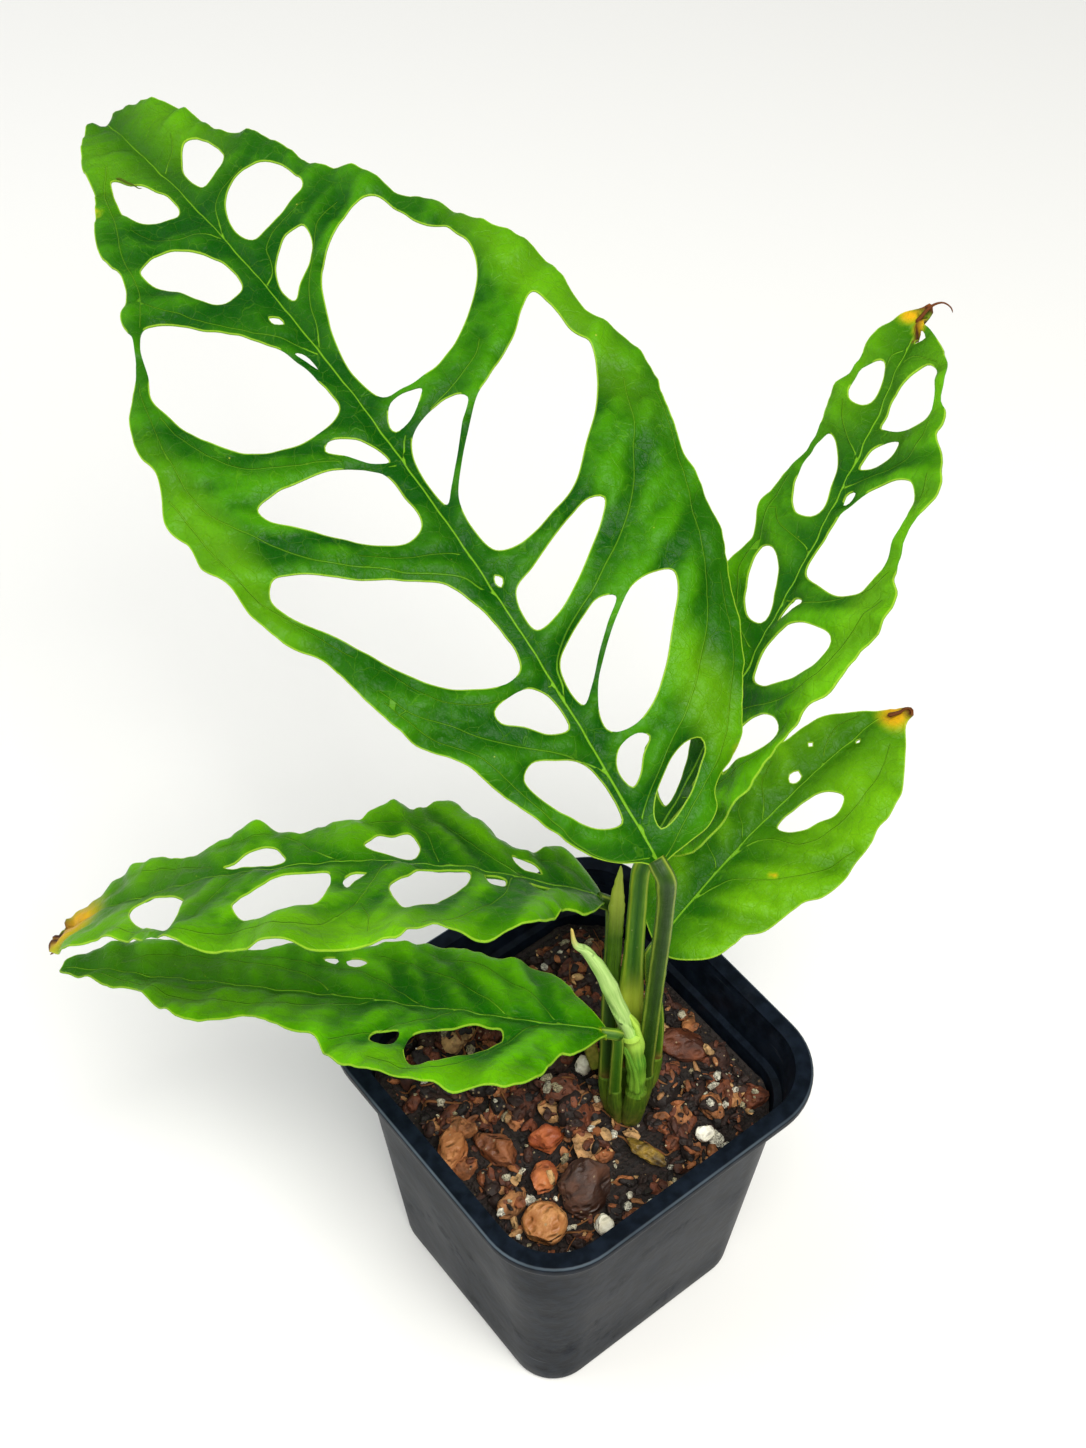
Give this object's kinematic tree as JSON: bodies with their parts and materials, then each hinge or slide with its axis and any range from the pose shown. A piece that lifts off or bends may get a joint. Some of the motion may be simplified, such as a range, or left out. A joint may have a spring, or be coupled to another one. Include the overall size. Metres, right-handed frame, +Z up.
{
  "type": "potted monstera obliqua",
  "caption": "Young climbing aroid with strongly perforated glossy leaves, a rolled new leaf and bark mix in a square black nursery pot.",
  "frame": {"origin": "centre of the pot's underside", "axes": "+Z up; X and Y along the pot's sides; the longest leaf points along -X"},
  "size_m": [0.236, 0.2081, 0.2443],
  "materials": {
    "pot_plastic": "black plastic, satin, lightly scuffed",
    "potting_mix": "loose damp bark and peat mix",
    "bark": "dry and damp bark, clay and wood chips",
    "perlite": "white expanded perlite grains",
    "leaf": "fresh glossy leaf with light veins and margins",
    "stalk": "fresh smooth stalk, olive to yellow-green",
    "young_leaf": "fresh pale matte leaf, still rolled"
  },
  "bodies": {
    "root": {"pot": "pot_plastic", "soil": "potting_mix", "bark_ball": "bark", "bark_round": "bark", "bark_oblong": "bark", "bark_shell": "bark", "bark_red_1": "bark", "bark_red_2": "bark", "bark_back": "bark", "chip_ochre": "bark", "perlite_1": "perlite", "perlite_2": "perlite", "perlite_3": "perlite", "perlite_4": "perlite", "crown": "stalk", "stalk_a": "stalk", "blade_a": "leaf", "stalk_b": "stalk", "blade_b": "leaf", "stalk_c": "stalk", "blade_c": "leaf", "stalk_d": "stalk", "blade_d": "leaf", "stalk_e": "stalk", "blade_e": "leaf", "bud_sheath": "young_leaf", "new_leaf": "young_leaf"}
  },
  "joints": []
}
